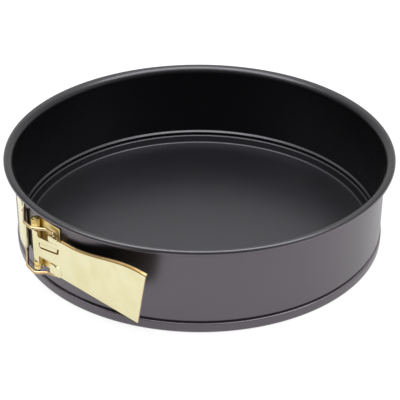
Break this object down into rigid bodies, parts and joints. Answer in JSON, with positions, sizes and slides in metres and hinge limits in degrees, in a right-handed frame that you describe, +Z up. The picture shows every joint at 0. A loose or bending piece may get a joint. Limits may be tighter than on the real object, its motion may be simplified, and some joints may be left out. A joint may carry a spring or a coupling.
{
  "type": "springform pan",
  "caption": "Round cake pan with a loose flat base in the foot of a springy hoop, which a hinged lever and wire bail clasp draw shut at the side.",
  "frame": {"origin": "centre of the flat underside of the base", "axes": "+Z up, -Y towards the clasp, +X along the closed lever towards its free end"},
  "size_m": [0.273, 0.276, 0.0669],
  "materials": {
    "coat": "dark grey non-stick coat on steel sheet, satin",
    "clasp": "pale gold plating on steel, glossy"
  },
  "bodies": {
    "pan": {"base_plate": "coat", "band_right": "coat", "lever_bracket": "clasp", "bracket_rivets": "clasp", "lever_pin": "clasp"},
    "ring_left": {"band_left": "coat", "bail_plate": "clasp", "bail_plate_rivets": "clasp"},
    "bail": {"bail": "clasp"},
    "lever": {"lever": "clasp"}
  },
  "joints": [
    {"name": "lever_swing", "type": "hinge", "parent": "pan", "child": "lever", "pos_m": [-0.0202, -0.13191, 0.036], "axis": [0, 0, -1], "range_deg": [0, 85]},
    {"name": "ring_open", "type": "hinge", "parent": "pan", "child": "ring_left", "pos_m": [0.03168, 0.13288, 0.036], "axis": [0, 0, -1], "range_deg": [0, 1.2]},
    {"name": "bail_swing", "type": "hinge", "parent": "ring_left", "child": "bail", "pos_m": [-0.0401, -0.12571, 0.036], "axis": [0, 0, -1], "range_deg": [0, 37.25]}
  ],
  "couplings": [
    {"joint": "ring_open", "follows": "lever_swing", "ratio": 0.01403},
    {"joint": "bail_swing", "follows": "lever_swing", "ratio": 0.43794}
  ]
}
